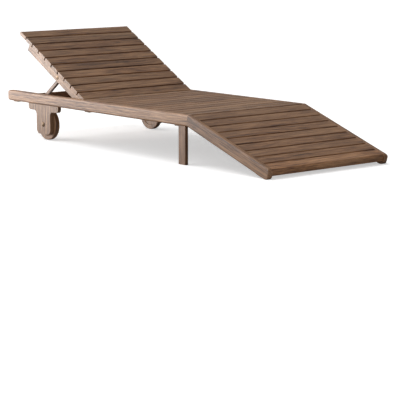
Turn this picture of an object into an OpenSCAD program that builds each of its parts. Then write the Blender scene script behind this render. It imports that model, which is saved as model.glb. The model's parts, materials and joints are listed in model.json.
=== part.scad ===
// Reclining wooden sun lounger: slatted bed between two side rails, a hinged slatted backrest held
// up by a swinging prop on notched racks, two wheels under the head end and a sloping foot part.
// +X runs from the head end to the foot end, +Y to the left of a person lying on it, +Z up.

/* [Overall] */
// Width over the outer faces of the side rails
overall_w = 750; // [650:10:850]
// Height of the lying surface above the ground
seat_h = 235; // [225:1:245]
// Distance from the head end to the knee, where the foot part starts to slope
knee_x = 1480; // [1440:10:1560]
// Downward slope of the foot part in degrees
slope_angle = 19; // [18:0.5:20]
// Angle of the backrest above level in degrees
recline_angle = 29.2; // [29.2]

/* [Side rails] */
// Thickness of a side rail
rail_t = 25; // [22:1:26]
// Height of a side rail
rail_h = 54; // [52:1:56]
// Rounding of the outer long edges
rail_edge_r = 8; // [4:1:10]
// Rounding of the rail ends, seen from the side
rail_end_r = 26; // [16:1:26]
// Rounding of the rail ends, seen from above
rail_plan_r = 9; // [4:1:11]
// Depth of the flat that the foot end of a rail stands on
sole_cut = 1.5; // [1:0.5:3]

/* [Slats] */
// Thickness of every slat
slat_t = 18; // [16:1:18]
// Gap between neighbouring slats
slat_gap = 8; // [4:0.5:8]
// Number of slats in the backrest
back_slats = 10; // [10]
// Number of slats in the level seat
seat_slats = 13; // [13]
// Number of slats in the sloping foot part, with the thicker nosing as the last one
foot_slats = 9; // [9]
// Rounding of the upper slat edges
slat_edge_r = 2.5; // [1:0.5:4]
// Thickness of the nosing slat at the foot end
nosing_t = 36; // [27:1:38]

/* [Backrest] */
// Distance from the head end to the lower edge of the backrest
back_end_x = 638; // [638]
// Length of the backrest surface
back_len = 630; // [630]
// Height of the two bearers under the backrest slats
bearer_h = 34; // [26:1:34]
// Thickness of a bearer
bearer_t = 18; // [16:1:18]
// Length of the backrest surface that stands free above the bearers
bearer_overhang = 102; // [90:1:110]
// Gap between the backrest and the side rails
back_side_gap = 3; // [2:0.5:4]

/* [Prop] */
// Distance of the prop pivot from the lower edge of the backrest
prop_pivot_s = 241; // [241]
// Depth of the prop pivot under the backrest surface
prop_pivot_d = 31; // [30.5:0.5:31]
// Distance from the head end to the foot of the prop
prop_foot_x = 249.5; // [249.5]
// Width of a prop strut in the plane of its swing
strut_w = 17; // [16:0.5:17]
// Thickness of a prop strut
strut_t = 16; // [14:1:16]
// Number of notches in a rack
rack_notches = 5; // [3:1:5]
// Spacing of the notches
notch_pitch = 70; // [60:1:72]

/* [Wheels and legs] */
// Distance from the head end to the wheel axle
wheel_x = 317; // [300:1:330]
// Outer radius of a wheel
wheel_r = 81; // [76:1:84]
// Thickness of a wheel
wheel_t = 25; // [20:1:26]
// Radial width of the raised wheel rim
rim_w = 22; // [12:1:26]
// Depth of the recess between rim and hub
web_recess = 6; // [3:1:8]
// Thickness of the wheel bracket plate
bracket_t = 20; // [14:1:20]
// Length of the bracket's upper flange
bracket_w = 262; // [240:2:280]
// Width of the bracket's stem
stem_w = 120; // [100:2:130]
// Width of a leg, along the lounger
leg_w = 50; // [36:1:54]
// Thickness of a leg, across the lounger
leg_t = 18; // [16:1:24]

/* [Hidden] */

wood = [0.60, 0.45, 0.34];
wood_light = [0.68, 0.53, 0.42];
wood_dark = [0.45, 0.32, 0.23];
metal = [0.60, 0.56, 0.50];

LEFT = 1;
RIGHT = -1;

half_w = overall_w / 2;
inner_y = half_w - rail_t;
rail_bottom = seat_h - rail_h;
knee_bottom_x = knee_x - rail_h * tan(slope_angle / 2);

// The foot part reaches down until its rounded end dips sole_cut below the ground, where it is cut flat.
slope_drop = seat_h + sole_cut - rail_end_r - (rail_h - rail_end_r) * cos(slope_angle);
slope_len = slope_drop / sin(slope_angle) + rail_end_r;
end_arc_x = knee_x + (slope_len - rail_end_r) * cos(slope_angle) - rail_end_r * sin(slope_angle);
overall_len = end_arc_x + rail_end_r;

// Backrest hinge: the knuckles lie flush with the lying surface, in a gap as wide as a knuckle.
knuckle_r = 3.5;
hinge_gap = 8;
hinge_x = back_end_x + hinge_gap / 2;
hinge_z = seat_h - knuckle_r;
hinge_len = 60;
hinge_spacing = 220;
leaf_t = 2;
leaf_h = 28;
hinge_pin_r = 1.8;
knuckle_split = 18;

seat_start_x = hinge_x + hinge_gap / 2;
seat_end_x = knee_x - 3;
foot_start_u = 4.5;
foot_end_u = slope_len - 9;
back_pitch = (back_len + slat_gap) / back_slats;
seat_pitch = (seat_end_x - seat_start_x + slat_gap) / seat_slats;
foot_pitch = (foot_end_u - foot_start_u + slat_gap) / foot_slats;
back_half_w = inner_y - back_side_gap;
bearer_y = back_half_w - bearer_t;
bearer_end_x = back_end_x - back_len + bearer_overhang;
cross_h = 24;
cross_bar_w = 20;
bottom_board_w = 88;
mid_bar_s = 250;
mid_bar_w = 17;
dowel_r = 4;
dowel_len = 42;

ledger_t = 20;
ledger_h = 22;
stretcher_t = 22;
head_stretcher_x = 30;
head_stretcher_h = 26;
hinge_stretcher_w = 25;
hinge_stretcher_h = 27;
batten_w = 38;
batten_t = 6;
batten_half_len = half_w - 13;
head_batten_x = 36;
hinge_batten_x = 665;
leg_x = knee_x - 70;
knee_batten_x = leg_x - batten_w - 2;
foot_batten_u = 500;

// The racks stand clear of the rails, so that the bearers come down beside them when the backrest
// is level. They run from the head batten to the hinge batten, under the hinge stretcher.
rack_t = 15;
rack_y = back_half_w - bearer_t - 1 - rack_t;
rack_top = seat_h - slat_t - cross_h - 1;
rack_bottom = rail_bottom - 5;
rack_start_x = 12;
rack_end_x = 700;
rack_tail_x = 644;
notch_r = 9.5;
notch_centre_z = rack_top + 1.5;

// Prop: the strut's rounded foot stops just above the rack, which is the linkage's open contact.
foot_r = strut_w / 2;
foot_gap = 1;
prop_foot_z = rack_top + foot_gap + foot_r;
strut_side_gap = 1;
strut_y = bearer_y - strut_side_gap - strut_t;
prop_pivot = reclined(back_end_x - prop_pivot_s, seat_h - prop_pivot_d);
prop_angle = atan2(prop_pivot[1] - prop_foot_z, prop_pivot[0] - prop_foot_x);
prop_len = norm([prop_pivot[0] - prop_foot_x, prop_pivot[1] - prop_foot_z]);
prop_bolt_r = 4;
prop_head_r = 11;
prop_head_h = 2;
running_gap = 0.05;
prop_bar_w = 22;
prop_bar_t = 16;
tenon_r = 4.5;
tenon_len = 12;

axle_r = 5;
wheel_gap = 1.4;
washer_t = 1;
axle_head_r = 13;
axle_head_h = 5;
wheel_y = inner_y - wheel_gap - wheel_t;
hub_r = 17;
flange_h = 32;
stem_bottom = 30;

screw_r = 2;
screw_head_r = 4;
screw_head_h = 2.4;
screw_bite = 13;
screw_gap = 0.1;

// Points of a circular arc about [cx, cy], from angle a0 to angle a1
function arc(cx, cy, r, a0, a1, steps = 5) =
    [for (i = [0:steps]) let (a = a0 + (a1 - a0) * i / steps) [cx + r * cos(a), cy + r * sin(a)]];

// Rectangle with four rounded corners, r = [lower left, lower right, upper right, upper left]
function round_rect(x0, y0, x1, y1, r) = concat(
    arc(x0 + r[0], y0 + r[0], r[0], 180, 270),
    arc(x1 - r[1], y0 + r[1], r[1], 270, 360),
    arc(x1 - r[2], y1 - r[2], r[2], 0, 90),
    arc(x0 + r[3], y1 - r[3], r[3], 90, 180)
);

// Place in the XZ plane of a point of the level backrest after the backrest is raised
function reclined(x, z) = [
    hinge_x + (x - hinge_x) * cos(recline_angle) + (z - hinge_z) * sin(recline_angle),
    hinge_z - (x - hinge_x) * sin(recline_angle) + (z - hinge_z) * cos(recline_angle)
];

function seat_slat_x(i) = seat_start_x + (i - 1) * seat_pitch;
function back_slat_x(i) = back_end_x - back_len + (i - 1) * back_pitch;
function foot_slat_u(i) = foot_start_u + (i - 1) * foot_pitch;

// Puts the head end's lower corner frame onto the part's own origin, mid-length on the ground
module place() {
    translate([-overall_len / 2, 0, 0]) children();
}

// Raises level backrest parts about the hinge axis
module recline() {
    translate([hinge_x, 0, hinge_z])
        rotate([0, recline_angle, 0])
            translate([-hinge_x, 0, -hinge_z]) children();
}

// Slope frame of the foot part: x down the slope from the knee, z square to its surface
module slope() {
    translate([knee_x, 0, seat_h]) rotate([0, slope_angle, 0]) children();
}

// Extrudes an XZ outline across the lounger between two y values
module across(y0, y1) {
    translate([0, y1, 0]) rotate([90, 0, 0]) linear_extrude(y1 - y0) children();
}

// Extrudes a YZ section along X
module along(x0, x1) {
    translate([x0, 0, 0]) rotate([90, 0, 90]) linear_extrude(x1 - x0) children();
}

module mirror_side(side) {
    scale_y = side == LEFT ? 0 : 1;
    mirror([0, scale_y, 0]) children();
}

// Cylinder along +Y from y0 to y1
module pin_y(x, z, r, y0, y1) {
    translate([x, y1, z]) rotate([90, 0, 0]) cylinder(h = y1 - y0, r = r, $fn = 48);
}

// Domed round head along +Y, its flat side at y
module dome_y(x, y, z, r, h) {
    sphere_r = (r * r + h * h) / (2 * h);
    half_angle = asin(r / sphere_r);
    translate([x, y, z]) rotate([-90, 0, 0]) rotate_extrude($fn = 48)
        polygon(concat([[0, 0]], arc(0, h - sphere_r, sphere_r, 90 - half_angle, 89.9, 6), [[0, h]]));
}

// One slat across the lounger: upper face at z = 0, from x = 0 to x = w
module slat(w, thick, half_len) {
    r = slat_edge_r;
    across(-half_len, half_len) polygon(round_rect(0, -thick, w, 0, [1, 1, r, r]));
}

// Upright screw through wood of height depth, with a countersunk head at the bottom, at z = 0
module slat_screw(depth, grow = 0) {
    shank_len = depth + screw_bite;
    cylinder(h = screw_head_h, r1 = screw_head_r + grow, r2 = screw_r + grow, $fn = 32);
    cylinder(h = shank_len + grow, r = screw_r + grow, $fn = 32);
}

// All screws of the level seat, from under the ledgers up into the slats
module seat_screws(grow = 0) {
    screw_y = inner_y - ledger_t / 2;
    for (i = [2:seat_slats], side = [LEFT, RIGHT])
        translate([seat_slat_x(i) + seat_pitch / 2, side * screw_y, seat_h - slat_t - ledger_h])
            slat_screw(ledger_h, grow);
}

// All screws of the sloping foot part, in the slope frame
module foot_screws(grow = 0) {
    screw_y = inner_y - ledger_t / 2;
    for (i = [1:foot_slats - 1], side = [LEFT, RIGHT])
        translate([foot_slat_u(i) + foot_pitch / 2, side * screw_y, -slat_t - ledger_h])
            slat_screw(ledger_h, grow);
}

// All screws of the backrest, in its level place
module back_screws(grow = 0) {
    screw_y = back_half_w - bearer_t / 2;
    for (i = [3:back_slats], side = [LEFT, RIGHT])
        translate([back_slat_x(i) + back_pitch / 2, side * screw_y, seat_h - slat_t - bearer_h])
            slat_screw(bearer_h, grow);
}

// ---- Frame -------------------------------------------------------------------------------------

rail_section = round_rect(inner_y, -rail_h, half_w, 0, [2, rail_edge_r, rail_edge_r, 2]);

// Upright prism that rounds the corners of a rail's outer end, seen from above
module rail_plan(x0, x1, r0, r1) {
    translate([0, 0, -rail_h - 1]) linear_extrude(rail_h + 2)
        polygon(round_rect(x0, inner_y, x1, half_w, [r0 / 3, r1 / 3, r1, r0]));
}

module side_rail(side) {
    outline = concat(
        arc(rail_end_r, rail_bottom + rail_end_r, rail_end_r, 180, 270, 8),
        [[knee_bottom_x, rail_bottom], [knee_x, seat_h]],
        arc(rail_end_r, seat_h - rail_end_r, rail_end_r, 90, 180, 8)
    );
    color(wood_light) place() mirror_side(side) intersection() {
        translate([0, 0, seat_h]) along(-1, knee_x + 1) polygon(rail_section);
        translate([0, 0, seat_h]) rail_plan(0, knee_x + 5, rail_plan_r, 1);
        across(inner_y - 1, half_w + 1) polygon(outline);
    }
}

module foot_rail(side) {
    outline = concat(
        [[0, 0], [knee_x - knee_bottom_x, -rail_h]],
        arc(slope_len - rail_end_r, rail_end_r - rail_h, rail_end_r, 270, 360, 8),
        arc(slope_len - rail_end_r, -rail_end_r, rail_end_r, 0, 90, 8)
    );
    color(wood_light) place() mirror_side(side) difference() {
        slope() intersection() {
            along(-1, slope_len + 1) polygon(rail_section);
            rail_plan(-5, slope_len, 1, rail_plan_r);
            across(inner_y - 1, half_w + 1) polygon(outline);
        }
        translate([knee_x, 0, -rail_h]) cube([slope_len, half_w + 1, rail_h]);
    }
}

module head_stretcher() {
    section = round_rect(
        head_stretcher_x, rail_bottom,
        head_stretcher_x + stretcher_t, rail_bottom + head_stretcher_h, [2, 2, 3, 3]
    );
    color(wood) place() across(-rack_y, rack_y) polygon(section);
}

module hinge_stretcher() {
    top = seat_h - slat_t;
    section = round_rect(
        seat_start_x, top - hinge_stretcher_h,
        seat_start_x + hinge_stretcher_w, top, [2, 2, 1, 1]
    );
    color(wood) place() across(-inner_y, inner_y) polygon(section);
}

module under_battens() {
    bottom = rail_bottom - batten_t;
    color(wood_dark) place() for (x = [head_batten_x, hinge_batten_x, knee_batten_x])
        across(-batten_half_len, batten_half_len)
            polygon(round_rect(x, bottom, x + batten_w, rail_bottom, [2, 2, 1, 1]));
}

module foot_batten() {
    section = round_rect(
        foot_batten_u, -rail_h - batten_t, foot_batten_u + batten_w, -rail_h, [2, 2, 1, 1]
    );
    color(wood_dark) place() slope() across(-batten_half_len, batten_half_len) polygon(section);
}

module rack(side) {
    tail_top = seat_h - slat_t - hinge_stretcher_h;
    outline = [
        [rack_start_x, rail_bottom],
        [head_batten_x + batten_w + 2, rail_bottom],
        [head_batten_x + batten_w + 8, rack_bottom],
        [hinge_batten_x - 8, rack_bottom],
        [hinge_batten_x - 2, rail_bottom],
        [rack_end_x, rail_bottom],
        [rack_end_x, tail_top],
        [rack_tail_x, tail_top],
        [rack_tail_x - 2, rack_top],
        [rack_start_x + 3, rack_top],
        [rack_start_x, rack_top - 3]
    ];
    color(wood) place() mirror_side(side) difference() {
        across(rack_y, rack_y + rack_t) polygon(outline);
        for (i = [0:rack_notches - 1])
            pin_y(
                prop_foot_x + i * notch_pitch, notch_centre_z, notch_r,
                rack_y - 1, rack_y + rack_t + 1
            );
    }
}

// Ledgers under the level seat and, in line with them, under the sloping foot part
module slat_ledgers() {
    x0 = seat_start_x + hinge_stretcher_w;
    u0 = foot_start_u + 4;
    u1 = foot_slat_u(foot_slats) - slat_gap;
    ledger_y = inner_y - ledger_t;
    drop = slat_t + ledger_h;
    color(wood) place() {
        difference() {
            for (side = [LEFT, RIGHT])
                mirror_side(side) translate([x0, ledger_y, seat_h - drop])
                    cube([knee_bottom_x - x0, ledger_t, ledger_h]);
            seat_screws(screw_gap);
        }
        slope() difference() {
            for (side = [LEFT, RIGHT])
                mirror_side(side) translate([u0, ledger_y, -drop])
                    cube([u1 - u0, ledger_t, ledger_h]);
            foot_screws(screw_gap);
        }
    }
}

module leg(side) {
    section = round_rect(leg_x, half_w - 3 - leg_t, leg_x + leg_w, half_w - 3, [2, 2, 2, 2]);
    color(wood_light) place() mirror_side(side) linear_extrude(rail_bottom) polygon(section);
}

module seat_slat(i) {
    w = seat_pitch - slat_gap;
    color(wood) place() difference() {
        translate([seat_slat_x(i), 0, seat_h]) slat(w, slat_t, inner_y);
        seat_screws(screw_gap);
    }
}

module foot_slats() {
    w = foot_pitch - slat_gap;
    color(wood) place() slope() difference() {
        for (i = [1:foot_slats - 1])
            translate([foot_slat_u(i), 0, 0]) slat(w, slat_t, inner_y);
        foot_screws(screw_gap);
    }
}

module foot_nosing() {
    u0 = foot_slat_u(foot_slats);
    color(wood) place() slope() across(-inner_y, inner_y)
        polygon(round_rect(u0, -nosing_t, foot_end_u, 0, [2, 6, 9, slat_edge_r]));
}

module frame_slat_screws() {
    color(metal) place() {
        seat_screws();
        slope() foot_screws();
    }
}

// ---- Wheels ------------------------------------------------------------------------------------

module wheel_bracket(side) {
    flange_bottom = rail_bottom - flange_h;
    half_flange = bracket_w / 2;
    half_stem = stem_w / 2;
    corner_r = 18;
    fillet_r = 20;
    toe_r = 26;
    right_half = concat(
        arc(half_stem - toe_r, stem_bottom + toe_r, toe_r, 270, 360, 6),
        arc(half_stem + fillet_r, flange_bottom - fillet_r, fillet_r, 180, 90, 6),
        arc(half_flange - corner_r, flange_bottom + corner_r, corner_r, 270, 360, 6),
        [[half_flange, rail_bottom]]
    );
    count = len(right_half);
    left_half = [for (i = [count - 1:-1:0]) [-right_half[i][0], right_half[i][1]]];
    color(wood_light) place() mirror_side(side) difference() {
        translate([wheel_x, 0, 0]) across(inner_y, inner_y + bracket_t)
            polygon(concat(right_half, left_half));
        pin_y(wheel_x, wheel_r, axle_r, inner_y - 1, inner_y + bracket_t + 1);
    }
}

// Wheel about its own axis: raised rounded rim, recessed web on both faces and a hub
module wheel(side) {
    half_t = wheel_t / 2;
    rim_r = 3;
    inner_r = wheel_r - rim_w;
    bore_r = axle_r + running_gap;
    web_z = half_t - web_recess;
    upper = concat(
        [[bore_r, half_t], [hub_r, half_t], [hub_r + 3, web_z], [inner_r - 4, web_z]],
        [[inner_r, half_t - 1.5], [inner_r + 1.5, half_t]],
        arc(wheel_r - rim_r, half_t - rim_r, rim_r, 90, 0, 6)
    );
    count = len(upper);
    lower = [for (i = [count - 1:-1:0]) [upper[i][0], -upper[i][1]]];
    color(wood) place() mirror_side(side) translate([wheel_x, wheel_y + half_t, wheel_r])
        rotate([-90, 0, 0]) rotate_extrude($fn = 96) polygon(concat(upper, lower));
}

module axle_bolts() {
    head_y = inner_y + bracket_t;
    color(metal) place() for (side = [LEFT, RIGHT]) mirror_side(side) {
        pin_y(wheel_x, wheel_r, axle_r, wheel_y - 14, head_y);
        dome_y(wheel_x, head_y, wheel_r, axle_head_r, axle_head_h);
    }
}

// Washer beside the bracket, washer and round nut behind the wheel
module axle_nuts() {
    nut_y = wheel_y - 0.4;
    color(metal) place() for (side = [LEFT, RIGHT]) mirror_side(side) difference() {
        union() {
            pin_y(wheel_x, wheel_r, 12, inner_y - washer_t, inner_y);
            pin_y(wheel_x, wheel_r, 12, nut_y - washer_t, nut_y);
            pin_y(wheel_x, wheel_r, 8.5, nut_y - washer_t - 8, nut_y - washer_t);
        }
        pin_y(wheel_x, wheel_r, axle_r + screw_gap, wheel_y - 20, inner_y + 1);
    }
}

// ---- Backrest ----------------------------------------------------------------------------------

// Dowels that tie the free top slat to the second one, whose ends the bearers carry
module slat_dowels(grow = 0) {
    mid_x = back_slat_x(2) - slat_gap / 2;
    for (y = [-hinge_spacing, 0, hinge_spacing])
        translate([mid_x - dowel_len / 2 - grow, y, seat_h - slat_t / 2])
            rotate([0, 90, 0]) cylinder(h = dowel_len + 2 * grow, r = dowel_r + grow, $fn = 32);
}

module back_slat(i) {
    w = back_pitch - slat_gap;
    top_slat = i == 1;
    color(wood) place() recline() difference() {
        translate([back_slat_x(i), 0, seat_h]) if (top_slat)
            across(-back_half_w, back_half_w)
                polygon(round_rect(0, -slat_t, w, 0, [5, 1, slat_edge_r, 7]));
        else
            slat(w, slat_t, back_half_w);
        back_screws(screw_gap);
        slat_dowels(screw_gap);
    }
}

module back_slat_dowels() {
    color(wood) place() recline() slat_dowels();
}

module back_bearer(side) {
    top = seat_h - slat_t;
    pivot_x = back_end_x - prop_pivot_s;
    section = round_rect(bearer_y, top - bearer_h, back_half_w, top, [2, 2, 0.5, 0.5]);
    color(wood_light) place() recline() difference() {
        mirror_side(side) difference() {
            along(bearer_end_x, back_end_x) polygon(section);
            pin_y(pivot_x, seat_h - prop_pivot_d, prop_bolt_r, bearer_y - 1, back_half_w + 1);
        }
        back_screws(screw_gap);
    }
}

// Cross piece between the bearers; s is the distance of its lower edge from the backrest's lower end
module back_cross_piece(s, w, half_len) {
    top = seat_h - slat_t;
    x1 = back_end_x - s;
    color(wood) place() recline() across(-half_len, half_len)
        polygon(round_rect(x1 - w, top - cross_h, x1, top, [2, 2, 0.5, 0.5]));
}

module back_top_bar() {
    back_cross_piece(back_end_x - bearer_end_x - cross_bar_w, cross_bar_w, bearer_y);
}

// The mid bar stops short of the struts and of the nuts on the prop bolts.
module back_mid_bar() {
    back_cross_piece(mid_bar_s, mid_bar_w, strut_y - 11);
}

module back_bottom_board() {
    back_cross_piece(0, bottom_board_w, bearer_y);
}

module back_slat_screws() {
    color(metal) place() recline() back_screws();
}

// ---- Prop --------------------------------------------------------------------------------------

// Frame of the prop: x runs up the strut from the centre of its foot
module prop_frame() {
    translate([prop_foot_x, 0, prop_foot_z]) rotate([0, -prop_angle, 0]) children();
}

module prop_strut(side) {
    outline = concat(
        arc(0, 0, foot_r, 90, 270, 12),
        arc(prop_len, 0, foot_r, -90, 90, 12)
    );
    color(wood) place() prop_frame() mirror_side(side) difference() {
        across(strut_y, strut_y + strut_t) polygon(outline);
        pin_y(prop_len, 0, prop_bolt_r + running_gap, strut_y - 1, strut_y + strut_t + 1);
        pin_y(0, 0, tenon_r, strut_y - 1, strut_y + tenon_len);
    }
}

module prop_bar() {
    section = round_rect(
        -prop_bar_w / 2, -prop_bar_t / 2, prop_bar_w / 2, prop_bar_t / 2, [2, 2, 2, 2]
    );
    color(wood) place() prop_frame() union() {
        across(-strut_y, strut_y) polygon(section);
        for (side = [LEFT, RIGHT])
            mirror_side(side) pin_y(0, 0, tenon_r, strut_y - 2, strut_y + tenon_len);
    }
}

module prop_bolts() {
    color(metal) place() for (side = [LEFT, RIGHT]) mirror_side(side) {
        pin_y(prop_pivot[0], prop_pivot[1], prop_bolt_r, strut_y - 9, back_half_w);
        dome_y(prop_pivot[0], back_half_w, prop_pivot[1], prop_head_r, prop_head_h);
    }
}

module prop_nuts() {
    nut_y = strut_y - 0.5;
    color(metal) place() for (side = [LEFT, RIGHT]) mirror_side(side) difference() {
        pin_y(prop_pivot[0], prop_pivot[1], 7.5, nut_y - 7, nut_y);
        pin_y(
            prop_pivot[0], prop_pivot[1], prop_bolt_r + screw_gap, nut_y - 8, nut_y + 1
        );
    }
}

// ---- Hinges ------------------------------------------------------------------------------------

// Leaves in their level place: face is the wood face, out the side of the axis that the leaf is on
module hinge_leaf(out, knuckles, free, bore_r) {
    leaf_x = out > 0 ? hinge_gap / 2 - leaf_t : -hinge_gap / 2;
    difference() {
        union() {
            difference() {
                translate([leaf_x, -hinge_len / 2, -leaf_h]) cube([leaf_t, hinge_len, leaf_h]);
                for (k = free) pin_y(0, 0, knuckle_r + 0.4, k[0] - 0.4, k[1] + 0.4);
            }
            for (k = knuckles) pin_y(0, 0, knuckle_r, k[0], k[1]);
        }
        pin_y(0, 0, bore_r, -hinge_len, hinge_len);
    }
}

mid_knuckle = [[knuckle_split - hinge_len / 2, hinge_len / 2 - knuckle_split]];
end_knuckles = [
    [-hinge_len / 2, knuckle_split - hinge_len / 2 - 0.5],
    [hinge_len / 2 - knuckle_split + 0.5, hinge_len / 2]
];

module at_hinges() {
    for (y = [-hinge_spacing, 0, hinge_spacing]) translate([hinge_x, y, hinge_z]) children();
}

// The frame's leaves hold the pins, which are solids of their own in the same group.
module frame_hinge_leaves() {
    color(metal) place() at_hinges() {
        hinge_leaf(1, end_knuckles, mid_knuckle, hinge_pin_r + running_gap);
        pin_y(0, 0, hinge_pin_r, -hinge_len / 2, hinge_len / 2);
    }
}

module back_hinge_leaves() {
    color(metal) place() recline() at_hinges()
        hinge_leaf(-1, mid_knuckle, end_knuckles, hinge_pin_r + running_gap);
}

// ---- Nodes -------------------------------------------------------------------------------------

side_rail(LEFT);  // side_rail_left
side_rail(RIGHT);  // side_rail_right
foot_rail(LEFT);  // foot_rail_left
foot_rail(RIGHT);  // foot_rail_right
head_stretcher();
hinge_stretcher();
under_battens();
foot_batten();
rack(LEFT);  // rack_left
rack(RIGHT);  // rack_right
slat_ledgers();
leg(LEFT);  // leg_left
leg(RIGHT);  // leg_right
wheel_bracket(LEFT);  // wheel_bracket_left
wheel_bracket(RIGHT);  // wheel_bracket_right
wheel(LEFT);  // wheel_left
wheel(RIGHT);  // wheel_right
axle_bolts();
axle_nuts();
seat_slat(1);  // seat_slat_01
seat_slat(2);  // seat_slat_02
seat_slat(3);  // seat_slat_03
seat_slat(4);  // seat_slat_04
seat_slat(5);  // seat_slat_05
seat_slat(6);  // seat_slat_06
seat_slat(7);  // seat_slat_07
seat_slat(8);  // seat_slat_08
seat_slat(9);  // seat_slat_09
seat_slat(10);  // seat_slat_10
seat_slat(11);  // seat_slat_11
seat_slat(12);  // seat_slat_12
seat_slat(13);  // seat_slat_13
foot_slats();
foot_nosing();
back_slat(1);  // back_slat_01
back_slat(2);  // back_slat_02
back_slat(3);  // back_slat_03
back_slat(4);  // back_slat_04
back_slat(5);  // back_slat_05
back_slat(6);  // back_slat_06
back_slat(7);  // back_slat_07
back_slat(8);  // back_slat_08
back_slat(9);  // back_slat_09
back_slat(10);  // back_slat_10
back_bearer(LEFT);  // back_bearer_left
back_bearer(RIGHT);  // back_bearer_right
back_top_bar();
back_mid_bar();
back_bottom_board();
back_slat_dowels();
prop_strut(LEFT);  // prop_strut_left
prop_strut(RIGHT);  // prop_strut_right
prop_bar();
prop_bolts();
prop_nuts();
frame_hinge_leaves();
back_hinge_leaves();
frame_slat_screws();
back_slat_screws();
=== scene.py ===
"""Reclining wooden sun lounger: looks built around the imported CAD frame.

Every wooden CAD node is replaced by a copy of its own mesh with eased edges. Each copy gets its own
solid-texture timber material, whose grain runs along the piece. Metal nodes keep their CAD mesh.
"""

import json
import math
import random

import bmesh
import bpy
from mathutils import Matrix, Vector

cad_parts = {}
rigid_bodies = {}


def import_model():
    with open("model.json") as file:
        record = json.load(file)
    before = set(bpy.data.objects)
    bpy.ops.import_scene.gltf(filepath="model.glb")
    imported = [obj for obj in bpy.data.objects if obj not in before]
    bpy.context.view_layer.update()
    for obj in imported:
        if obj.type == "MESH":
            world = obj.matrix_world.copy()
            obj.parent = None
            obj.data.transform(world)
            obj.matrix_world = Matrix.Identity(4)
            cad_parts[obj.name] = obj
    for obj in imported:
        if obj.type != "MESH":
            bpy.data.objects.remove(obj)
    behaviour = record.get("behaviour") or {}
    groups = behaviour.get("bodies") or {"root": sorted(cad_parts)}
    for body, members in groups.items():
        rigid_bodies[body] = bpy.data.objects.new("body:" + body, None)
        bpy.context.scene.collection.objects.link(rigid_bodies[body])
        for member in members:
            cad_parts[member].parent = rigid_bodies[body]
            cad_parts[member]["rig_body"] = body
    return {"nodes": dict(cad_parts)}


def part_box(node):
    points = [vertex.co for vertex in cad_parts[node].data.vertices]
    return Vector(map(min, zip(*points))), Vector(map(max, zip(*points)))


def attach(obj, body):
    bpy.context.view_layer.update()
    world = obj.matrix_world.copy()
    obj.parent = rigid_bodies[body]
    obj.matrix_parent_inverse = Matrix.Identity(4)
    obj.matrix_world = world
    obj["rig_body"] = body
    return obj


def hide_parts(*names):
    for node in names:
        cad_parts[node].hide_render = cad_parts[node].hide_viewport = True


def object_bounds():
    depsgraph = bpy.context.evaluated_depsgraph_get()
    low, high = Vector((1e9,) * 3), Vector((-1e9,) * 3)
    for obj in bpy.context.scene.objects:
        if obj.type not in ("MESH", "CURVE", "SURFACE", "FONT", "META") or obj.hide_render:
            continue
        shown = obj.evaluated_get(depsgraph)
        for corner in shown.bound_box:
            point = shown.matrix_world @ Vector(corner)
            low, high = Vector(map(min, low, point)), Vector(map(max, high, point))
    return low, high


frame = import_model()
cad_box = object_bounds()

# ---- Frames of the sloping parts ---------------------------------------------------------------

X, Y, Z = Vector((1, 0, 0)), Vector((0, 1, 0)), Vector((0, 0, 1))


def turned(degrees):
    """The X and Z axes turned about +Y, as for a board that falls towards +X."""
    turn = Matrix.Rotation(math.radians(degrees), 3, "Y")
    return turn @ X, turn @ Z


def strut_angle():
    """Angle above level of the prop struts, from the box of one round-ended strut."""
    low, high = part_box("prop_strut_left")
    run = high - low
    return math.degrees(math.atan2(run.z - STRUT_WIDTH, run.x - STRUT_WIDTH))


# Backrest and foot part against level, in degrees
RECLINE = 29.2
SLOPE = 19.0
STRUT_WIDTH = 0.017
BACK_X, BACK_Z = turned(RECLINE)
FOOT_X, FOOT_Z = turned(SLOPE)
PROP_X, PROP_Z = turned(-strut_angle())

# ---- Materials ---------------------------------------------------------------------------------


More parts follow.
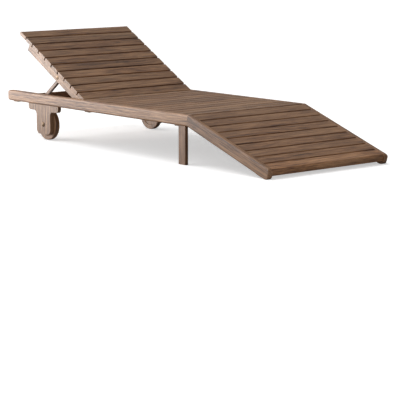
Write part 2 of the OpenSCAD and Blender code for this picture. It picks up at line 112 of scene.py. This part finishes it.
class Tree:
    """Short calls to build a material's nodes."""

    def __init__(self, name):
        self.material = bpy.data.materials.new(name)
        self.material.use_nodes = True
        self.nodes = self.material.node_tree.nodes
        self.links = self.material.node_tree.links
        self.nodes.clear()

    def add(self, kind, inputs=None, **settings):
        node = self.nodes.new(kind)
        for key, value in settings.items():
            setattr(node, key, value)
        for key, value in (inputs or {}).items():
            self.put(node.inputs[key], value)
        return node

    def put(self, socket, value):
        if isinstance(value, bpy.types.NodeSocket):
            self.links.new(value, socket)
        else:
            socket.default_value = value

    def math(self, operation, a, b=0.0):
        node = self.add("ShaderNodeMath", operation=operation)
        self.put(node.inputs[0], a)
        self.put(node.inputs[1], b)
        return node.outputs[0]

    def dot(self, vector, axis):
        node = self.add("ShaderNodeVectorMath", operation="DOT_PRODUCT")
        self.put(node.inputs[0], vector)
        self.put(node.inputs[1], tuple(axis))
        return node.outputs["Value"]

    def xyz(self, x, y, z):
        return self.add("ShaderNodeCombineXYZ", {0: x, 1: y, 2: z}).outputs[0]

    def noise(self, vector, scale=1.0, detail=2.0, roughness=0.5, distortion=0.0):
        inputs = {
            "Vector": vector,
            "Scale": scale,
            "Detail": detail,
            "Roughness": roughness,
            "Distortion": distortion,
        }
        return self.add("ShaderNodeTexNoise", inputs, noise_dimensions="3D").outputs[0]

    def spread(self, value, low, high, to_low=0.0, to_high=1.0):
        """value from low..high to to_low..to_high, held at the ends."""
        inputs = {0: value, 1: low, 2: high, 3: to_low, 4: to_high}
        return self.add("ShaderNodeMapRange", inputs, clamp=True).outputs[0]

    def mix(self, factor, a, b):
        node = self.add("ShaderNodeMix", data_type="RGBA")
        self.put(node.inputs[0], factor)
        self.put(node.inputs[6], a)
        self.put(node.inputs[7], b)
        return node.outputs[2]

    def ramp(self, value, stops):
        node = self.add("ShaderNodeValToRGB", {0: value})
        band = node.color_ramp
        while len(band.elements) < len(stops):
            band.elements.new(0.5)
        for element, (place, colour) in zip(band.elements, stops):
            element.position = place
            element.color = (*colour, 1)
        return node.outputs[0]

    def finish(self, inputs, bump=None, strength=0.3, distance=0.001):
        shader = self.add("ShaderNodeBsdfPrincipled", inputs)
        if bump is not None:
            node = self.add("ShaderNodeBump", {"Height": bump})
            node.inputs["Strength"].default_value = strength
            node.inputs["Distance"].default_value = distance
            self.links.new(node.outputs[0], shader.inputs["Normal"])
        out = self.add("ShaderNodeOutputMaterial")
        self.links.new(shader.outputs[0], out.inputs[0])
        return self.material


def tinted(colour, value, warmth):
    """colour made brighter by value and redder by warmth."""
    r, g, b = colour
    return (r * value * (1 + warmth), g * value, b * value * (1 - warmth))


# Colours of the timber: from the darkest streak to the palest, and its special parts
STREAK_STOPS = [
    (0.46, (0.055, 0.021, 0.008)),
    (0.54, (0.172, 0.077, 0.030)),
    (0.61, (0.290, 0.138, 0.059)),
    (0.72, (0.480, 0.258, 0.126)),
]
BLEACHED = (0.320, 0.198, 0.116)
# Paler colour of the eased edges: rubbed wear together with a painted edge highlight.
WORN_AND_HIGHLIT_EDGE = (0.430, 0.290, 0.190)
PORE = (0.045, 0.026, 0.018, 1)

RINGS_PER_FIELD = 95.0
GRAIN_BEND = 0.008
MOST_BLEACHING = 0.30


def timber(name, along, across, value, warmth):
    """Oiled, sun-bleached hardwood.

    along is the grain's direction and across is square to it, in the broad face.
    """
    t = Tree(name)
    dice = random.Random(name)
    place = t.add("ShaderNodeTexCoord").outputs["Object"]
    deep = along.cross(across)
    shift = [dice.uniform(-9, 9) for _ in range(3)]
    u = t.math("ADD", t.dot(place, along), shift[0])
    v = t.math("ADD", t.dot(place, across), shift[1])
    w = t.math("ADD", t.dot(place, deep), shift[2])

    # Slow waves that bend the grain sideways.
    sway = t.noise(t.xyz(t.math("MULTIPLY", u, 2.2), v, w), 3.0, 1.0)
    bend = t.math("MULTIPLY", t.math("SUBTRACT", sway, 0.5), GRAIN_BEND)
    v2 = t.math("ADD", v, bend)
    grain_space = t.xyz(t.math("MULTIPLY", u, 0.045), v2, w)

    # Growth rings as the level lines of a slow field, drawn out along the grain.
    field = t.noise(grain_space, 11.0, 1.5, 0.4)
    rings = t.math("SINE", t.math("MULTIPLY", field, RINGS_PER_FIELD))
    rings = t.math("MULTIPLY_ADD", rings, 0.5)
    rings.node.inputs[2].default_value = 0.5

    streaks = t.noise(grain_space, 210.0, 5.0, 0.66, 0.1)
    fibres = t.noise(t.xyz(t.math("MULTIPLY", u, 0.03), v2, w), 620.0, 3.0, 0.6)
    pores = t.noise(t.xyz(t.math("MULTIPLY", u, 0.06), v2, w), 1500.0, 1.0, 0.5)
    pores = t.spread(pores, 0.60, 0.70)
    clouds = t.noise(t.xyz(t.math("MULTIPLY", u, 0.20), v, w), 14.0, 2.0, 0.5)

    tone = t.math("MULTIPLY", streaks, 0.62)
    tone = t.math("ADD", tone, t.math("MULTIPLY", rings, 0.08))
    tone = t.math("ADD", tone, t.math("MULTIPLY", fibres, 0.30))
    tone = t.math("ADD", tone, t.math("MULTIPLY", clouds, 0.18))
    colour = t.ramp(tone, [(p, tinted(c, value, warmth)) for p, c in STREAK_STOPS])
    patch = t.spread(clouds, 0.35, 0.70, 0.0, MOST_BLEACHING)
    colour = t.mix(patch, colour, (*tinted(BLEACHED, value, warmth), 1))
    colour = t.mix(t.math("MULTIPLY", pores, 0.55), colour, PORE)

    # Rubbed arrises with a painted edge highlight: eased edges carry the attribute "edge", and
    # there the colour is mixed towards a paler tone, partly wear and partly painted highlight.
    edge = t.add("ShaderNodeAttribute", attribute_name="edge").outputs["Fac"]
    wear_and_highlight = t.math("MULTIPLY", edge, t.spread(streaks, 0.35, 0.65, 0.0, 0.30))
    colour = t.mix(wear_and_highlight, colour, (*tinted(WORN_AND_HIGHLIT_EDGE, value, warmth), 1))

    rough = t.spread(streaks, 0.3, 0.7, 0.55, 0.40)
    height = t.math("SUBTRACT", t.math("MULTIPLY", fibres, 0.6), pores)
    height = t.math("ADD", height, t.math("MULTIPLY", rings, 0.25))
    shader = {"Base Color": colour, "Roughness": rough, "Specular IOR Level": 0.85}
    return t.finish(shader, height, 0.35, 0.0006)


def bronze(name, colour, roughness=0.38):
    """Browned metal with rubbed spots and fine scratches."""
    t = Tree(name)
    place = t.add("ShaderNodeTexCoord").outputs["Object"]
    blotch = t.noise(place, 260.0, 4.0, 0.6)
    fine = t.noise(place, 1800.0, 2.0, 0.5)
    dark = tuple(c * 0.45 for c in colour)
    tint = t.ramp(t.math("ADD", t.math("MULTIPLY", blotch, 0.8), t.math("MULTIPLY", fine, 0.2)),
                  [(0.35, dark), (0.62, colour)])
    rough = t.spread(blotch, 0.3, 0.7, roughness + 0.22, roughness - 0.08)
    shader = {"Base Color": tint, "Metallic": 0.9, "Roughness": rough}
    return t.finish(shader, t.math("ADD", blotch, t.math("MULTIPLY", fine, 0.4)), 0.15, 0.0003)


# ---- Finished pieces from the CAD nodes ----------------------------------------------------------

# Rounding of sharp edges in metres, what counts as sharp and as flat, and the welding distance
EASE = 0.0009
SHARP = math.radians(34)
FLAT = math.radians(0.6)
WELD = 2e-6


def eased_mesh(source):
    """A clean copy of a CAD mesh: flat faces merged, sharp edges rounded and marked as edge."""
    bm = bmesh.new()
    bm.from_mesh(source)
    bmesh.ops.remove_doubles(bm, verts=bm.verts, dist=WELD)
    bmesh.ops.dissolve_limit(bm, angle_limit=FLAT, verts=bm.verts, edges=bm.edges)
    edge = bm.faces.layers.float.new("edge")
    sharp = [e for e in bm.edges if e.is_manifold and e.calc_face_angle() > SHARP]
    made = bmesh.ops.bevel(
        bm, geom=sharp, offset=EASE, offset_type="OFFSET", segments=2, profile=0.5,
        affect="EDGES", clamp_overlap=True,
    )
    for face in made["faces"]:
        face[edge] = 1.0
    for face in bm.faces:
        face.smooth = True
    for e in bm.edges:
        e.smooth = not (e.is_manifold and e.calc_face_angle() > SHARP)
    return bm


def piece(name, bm, material, node):
    """A finished piece that rides on its node's body and replaces the node."""
    mesh = bpy.data.meshes.new(name)
    bm.to_mesh(mesh)
    bm.free()
    obj = bpy.data.objects.new(name, mesh)
    bpy.context.scene.collection.objects.link(obj)
    mesh.materials.append(material)
    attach(obj, frame["nodes"][node]["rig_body"])
    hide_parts(node)
    normals = obj.modifiers.new("normals", "WEIGHTED_NORMAL")
    normals.keep_sharp = True


VALUE_SPREAD = 0.14
WARMTH_SPREAD = 0.025


def finish_node(node, along, across, value=1.0, warmth=0.0):
    """Replaces a wooden CAD node by its finished piece, in a tone of its own, scaled by value and
    warmth; on some pieces these carry painted light or painted shade.
    """
    dice = random.Random("tone " + node)
    value *= dice.uniform(1 - VALUE_SPREAD, 1 + VALUE_SPREAD)
    warmth += dice.uniform(-WARMTH_SPREAD, WARMTH_SPREAD)
    material = timber("timber_" + node, along, across, value, warmth)
    piece("oiled_" + node, eased_mesh(frame["nodes"][node].data), material, node)


for i in range(1, 14):
    finish_node(f"seat_slat_{i:02d}", Y, X)
for i in range(1, 11):
    finish_node(f"back_slat_{i:02d}", Y, BACK_X)
# Painted light: the nosing is made 1.35 times paler and a little warmer, standing in for light on
# its front.
finish_node("foot_nosing", Y, FOOT_X, value=1.35, warmth=0.04)
# Painted shade: the foot slats are made darker than the other slats, standing in for shade on them.
finish_node("foot_slats", Y, FOOT_X, value=0.81)

for side in ("left", "right"):
    finish_node("side_rail_" + side, X, Z)
    finish_node("foot_rail_" + side, FOOT_X, FOOT_Z)
    finish_node("rack_" + side, X, Z)
    # Painted shade: the legs are made darker and warmer than the other timber, standing in for
    # shade on them.
    finish_node("leg_" + side, Z, X, value=0.82, warmth=0.10)
    finish_node("wheel_bracket_" + side, Z, X)
    finish_node("wheel_" + side, Z, X)
    finish_node("back_bearer_" + side, BACK_X, BACK_Z)
    finish_node("prop_strut_" + side, PROP_X, PROP_Z)
for node in ("head_stretcher", "hinge_stretcher", "under_battens", "foot_batten"):
    finish_node(node, Y, X)
finish_node("slat_ledgers", X, Y)
finish_node("back_slat_dowels", BACK_X, Y)
for node in ("back_top_bar", "back_mid_bar", "back_bottom_board"):
    finish_node(node, Y, BACK_X)
finish_node("prop_bar", Y, PROP_X)


def metal_nodes(material, nodes):
    """Gives CAD nodes that are kept as they are a procedural metal."""
    for node in nodes:
        materials = frame["nodes"][node].data.materials
        materials.clear()
        materials.append(material)


metal_nodes(
    bronze("aged_brass", (0.24, 0.16, 0.10), 0.40),
    ("axle_bolts", "axle_nuts", "prop_bolts", "prop_nuts"),
)
metal_nodes(
    bronze("dull_steel", (0.46, 0.44, 0.41)),
    ("frame_hinge_leaves", "back_hinge_leaves", "frame_slat_screws", "back_slat_screws"),
)

# ---- Studio ------------------------------------------------------------------------------------


def make_floor():
    """White ground for the camera; for light that bounces it is darker, but bright at -X -Y."""
    mesh = bpy.data.meshes.new("floor")
    half = 90.0
    mesh.from_pydata(
        [(-half, -half, 0), (half, -half, 0), (half, half, 0), (-half, half, 0)],
        [], [(0, 1, 2, 3)],
    )
    floor = bpy.data.objects.new("floor", mesh)
    bpy.context.scene.collection.objects.link(floor)
    t = Tree("floor")
    seen = t.add("ShaderNodeLightPath").outputs["Is Camera Ray"]
    matt = t.add("ShaderNodeBsdfDiffuse", {"Color": (0.80, 0.80, 0.80, 1)}).outputs[0]
    glow = t.add("ShaderNodeEmission", {"Color": (1, 1, 1, 1), "Strength": FLOOR_GLOW}).outputs[0]
    white = t.add("ShaderNodeAddShader", {0: matt, 1: glow}).outputs[0]
    place = t.add("ShaderNodeTexCoord").outputs["Object"]
    lit = t.spread(t.dot(place, FLOOR_LIT_SIDE), 0.6, 2.2, 0.0, FLOOR_LIT)
    sheen = t.add("ShaderNodeEmission", {"Color": (1, 1, 1, 1), "Strength": lit}).outputs[0]
    dim = t.add("ShaderNodeBsdfDiffuse", {"Color": (0.32, 0.31, 0.30, 1)}).outputs[0]
    bounce = t.add("ShaderNodeAddShader", {0: dim, 1: sheen}).outputs[0]
    mixed = t.add("ShaderNodeMixShader", {0: seen, 1: bounce, 2: white}).outputs[0]
    t.add("ShaderNodeOutputMaterial", {0: mixed})
    mesh.materials.append(t.material)


def make_world():
    """Soft daylight, brightest towards KEY_SIDE; the camera sees plain white."""
    world = bpy.data.worlds.new("studio")
    bpy.context.scene.world = world
    world.use_nodes = True
    tree = world.node_tree
    tree.nodes.clear()

    def node(kind, **settings):
        made = tree.nodes.new(kind)
        for key, value in settings.items():
            setattr(made, key, value)
        return made

    direction = node("ShaderNodeTexCoord").outputs["Generated"]
    side = node("ShaderNodeVectorMath", operation="DOT_PRODUCT")
    tree.links.new(direction, side.inputs[0])
    side.inputs[1].default_value = KEY_SIDE
    ramp = node("ShaderNodeValToRGB")
    tree.links.new(side.outputs["Value"], ramp.inputs[0])
    stops = [(0.0, 0.16), (0.25, 0.26), (0.60, 0.60), (0.95, 1.30)]
    while len(ramp.color_ramp.elements) < len(stops):
        ramp.color_ramp.elements.new(0.5)
    for element, (place, level) in zip(ramp.color_ramp.elements, stops):
        element.position = place
        element.color = (level, level, level, 1)
    soft = node("ShaderNodeBackground")
    tree.links.new(ramp.outputs[0], soft.inputs["Color"])
    soft.inputs["Strength"].default_value = WORLD_LIGHT
    white = node("ShaderNodeBackground")
    white.inputs["Color"].default_value = (1, 1, 1, 1)
    white.inputs["Strength"].default_value = 1.05
    seen = node("ShaderNodeLightPath").outputs["Is Camera Ray"]
    mixed = node("ShaderNodeMixShader")
    tree.links.new(seen, mixed.inputs[0])
    tree.links.new(soft.outputs[0], mixed.inputs[1])
    tree.links.new(white.outputs[0], mixed.inputs[2])
    out = node("ShaderNodeOutputWorld")
    tree.links.new(mixed.outputs[0], out.inputs[0])


def sun(name, toward, strength, size):
    """A far light that comes from the direction toward, size degrees wide."""
    light = bpy.data.lights.new(name, "SUN")
    light.energy = strength
    light.angle = math.radians(size)
    obj = bpy.data.objects.new(name, light)
    obj.rotation_mode = "QUATERNION"
    obj.rotation_quaternion = Vector(toward).to_track_quat("Z", "Y")
    bpy.context.scene.collection.objects.link(obj)


def panel(name, place, aim, wide, high, watts):
    """A soft rectangular light at place that faces the point aim, unseen by the camera."""
    light = bpy.data.lights.new(name, "AREA")
    light.shape = "RECTANGLE"
    light.size, light.size_y = wide, high
    light.energy = watts
    obj = bpy.data.objects.new(name, light)
    obj.location = place
    obj.visible_camera = False
    obj.rotation_mode = "QUATERNION"
    obj.rotation_quaternion = (Vector(place) - Vector(aim)).to_track_quat("Z", "Y")
    bpy.context.scene.collection.objects.link(obj)


# The sky's bright side and strength, the camera's floor glow, and the floor's bright side
KEY_SIDE = (-0.62, -0.50, 0.60)
WORLD_LIGHT = 0.80
FLOOR_GLOW = 0.47
FLOOR_LIT_SIDE = (-0.77, -0.64, 0.0)
FLOOR_LIT = 0.9
make_floor()
make_world()
panel("key", (-3.5, -2.3, 0.60), (-0.3, 0.0, 0.15), 2.6, 0.9, 100)
sun("top", (-0.42, -0.20, 1.0), 1.12, 50)
panel("foot", (2.4, -0.6, 0.5), (1.0, 0.0, 0.05), 1.2, 0.5, 6)

# ---- Camera ------------------------------------------------------------------------------------

AZIMUTH, ELEVATION = math.radians(49.850), math.radians(9.756)
LENS_MM = 148.185
# The eye stands this far beyond the head end along X, and at this Y and Z
EYE_FROM_HEAD, EYE_Y, EYE_Z = 7.2459, -5.1639, 1.1294
camera = bpy.data.cameras.new("camera")
camera.sensor_width = 36.0
camera.lens = LENS_MM
camera.clip_start, camera.clip_end = 0.1, 400.0
eye = bpy.data.objects.new("camera", camera)
back = Vector((
    math.sin(AZIMUTH) * math.cos(ELEVATION),
    -math.cos(AZIMUTH) * math.cos(ELEVATION),
    math.sin(ELEVATION),
))
eye.location = (cad_box[0].x + EYE_FROM_HEAD, EYE_Y, EYE_Z)
eye.rotation_mode = "QUATERNION"
eye.rotation_quaternion = back.to_track_quat("Z", "Y")
bpy.context.scene.collection.objects.link(eye)
bpy.context.scene.camera = eye
bpy.context.scene.view_settings.view_transform = "Standard"
